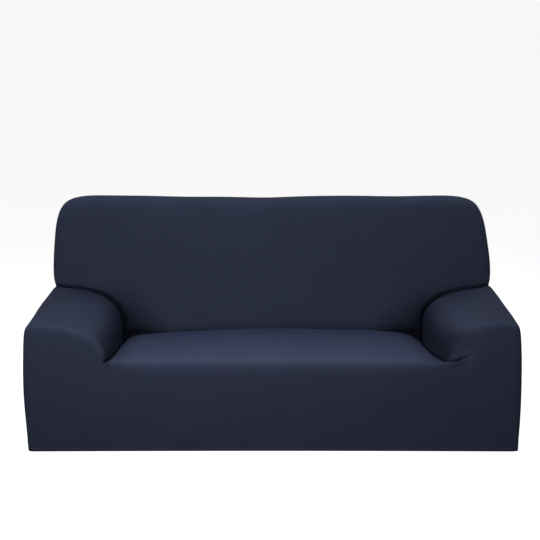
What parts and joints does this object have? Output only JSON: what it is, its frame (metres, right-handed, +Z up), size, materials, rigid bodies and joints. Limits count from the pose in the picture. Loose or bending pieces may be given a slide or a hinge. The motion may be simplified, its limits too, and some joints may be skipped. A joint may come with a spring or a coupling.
{
  "type": "two-seat sofa slipcover",
  "caption": "Fitted stretch-knit cover for a two-seat sofa with arms, hollow and open at the hem.",
  "frame": {"origin": "middle of the cover's footprint, on the level of the hem", "axes": "+Z up, +X along the seat to the right seen from the front, -Y towards the front"},
  "size_m": [1.8685, 0.862, 0.851],
  "materials": {
    "seat_and_front": "matt navy stretch knit",
    "arm_left": "matt navy stretch knit",
    "arm_right": "matt navy stretch knit",
    "inside_back": "matt navy stretch knit",
    "outside_back": "matt navy stretch knit"
  },
  "bodies": {
    "root": {"seat_and_front": "seat_and_front", "arm_left": "arm_left", "arm_right": "arm_right", "inside_back": "inside_back", "outside_back": "outside_back"}
  },
  "joints": []
}
